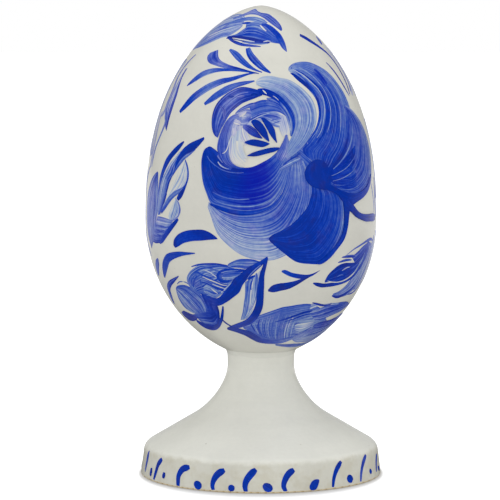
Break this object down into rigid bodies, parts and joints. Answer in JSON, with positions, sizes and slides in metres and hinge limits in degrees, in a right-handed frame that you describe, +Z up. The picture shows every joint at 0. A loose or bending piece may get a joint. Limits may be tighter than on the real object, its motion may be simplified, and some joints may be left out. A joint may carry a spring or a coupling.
{
  "type": "decorated egg on a pedestal",
  "caption": "Solid wooden egg, painted with a blue brushed rose and leaves under varnish, glued upright on a turned pedestal with a slender neck and a wide foot.",
  "frame": {"origin": "middle of the flat underside of the foot", "axes": "+Z up along the turning axis, from the foot to the tip of the egg; -Y towards the side that carries the painted rose"},
  "size_m": [0.0874, 0.0874, 0.17],
  "materials": {
    "painted_egg": "turned linden, white primer, blue brush painting, clear gloss varnish",
    "painted_pedestal": "turned linden, white primer, blue brush painting, clear gloss varnish",
    "beech": "bare planed beech",
    "painted_filler": "wood filler smoothed by hand, white primer, clear gloss varnish"
  },
  "bodies": {
    "root": {"egg": "painted_egg", "pedestal": "painted_pedestal", "dowel": "beech", "seam_filler": "painted_filler"}
  },
  "joints": []
}
